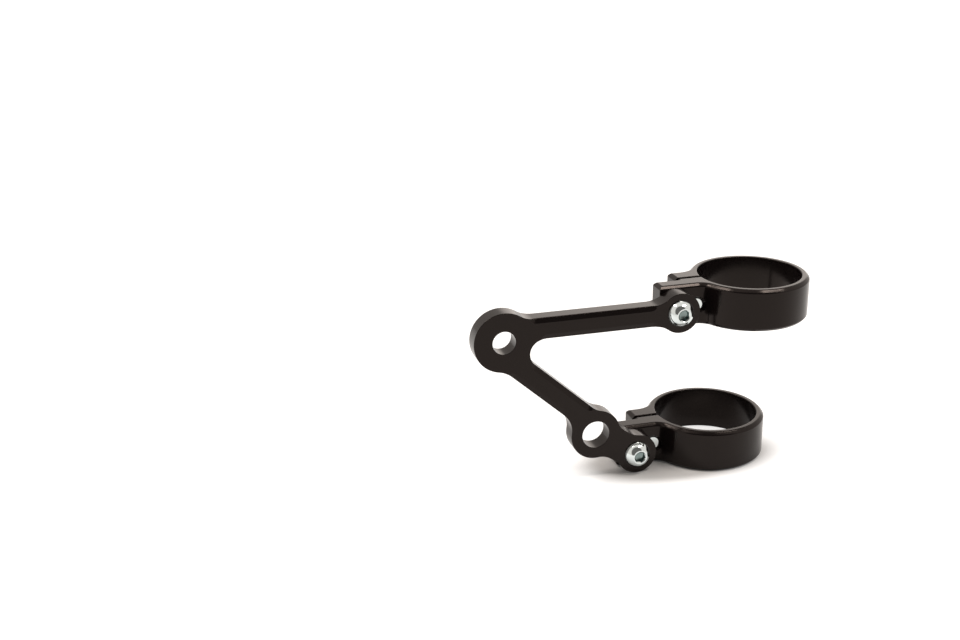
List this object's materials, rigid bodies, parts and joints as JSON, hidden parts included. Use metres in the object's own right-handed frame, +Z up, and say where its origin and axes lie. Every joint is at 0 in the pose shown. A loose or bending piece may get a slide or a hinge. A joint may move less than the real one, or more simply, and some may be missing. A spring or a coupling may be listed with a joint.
{
  "type": "headlight mounting bracket",
  "caption": "Black anodised aluminium plate with two swivelling split clamps for a motorcycle fork tube; it carries a headlight at its apex and a turn signal on its lower arm.",
  "frame": {"origin": "on the axis of the lower clamp's bore, at the clamp's bottom face, on which the bracket stands", "axes": "+X from the headlight hole towards the fork tube, +Z up along the lower clamp's bore, plate on the -Y side of the bores"},
  "size_m": [0.1408, 0.047, 0.0742],
  "materials": {
    "plate_aluminium": "satin black anodised",
    "clamp_aluminium": "satin black anodised",
    "screw_steel": "bright plated steel"
  },
  "bodies": {
    "lower_clamp_set": {"lower_clamp": "clamp_aluminium", "lower_arm_screw": "screw_steel", "lower_pinch_screw": "screw_steel"},
    "plate": {"bracket_plate": "plate_aluminium"},
    "upper_clamp_set": {"upper_clamp": "clamp_aluminium", "upper_arm_screw": "screw_steel", "upper_pinch_screw": "screw_steel"}
  },
  "joints": [
    {"name": "plate_swivel", "type": "hinge", "parent": "lower_clamp_set", "child": "plate", "pos_m": [-0.03511, -0.011, 0.0081], "axis": [0, 1, 0], "range_deg": [-25, 30]},
    {"name": "upper_clamp_swivel", "type": "hinge", "parent": "plate", "child": "upper_clamp_set", "pos_m": [-0.01891, -0.011, 0.0653], "axis": [0, 1, 0], "range_deg": [-90, 30]}
  ]
}
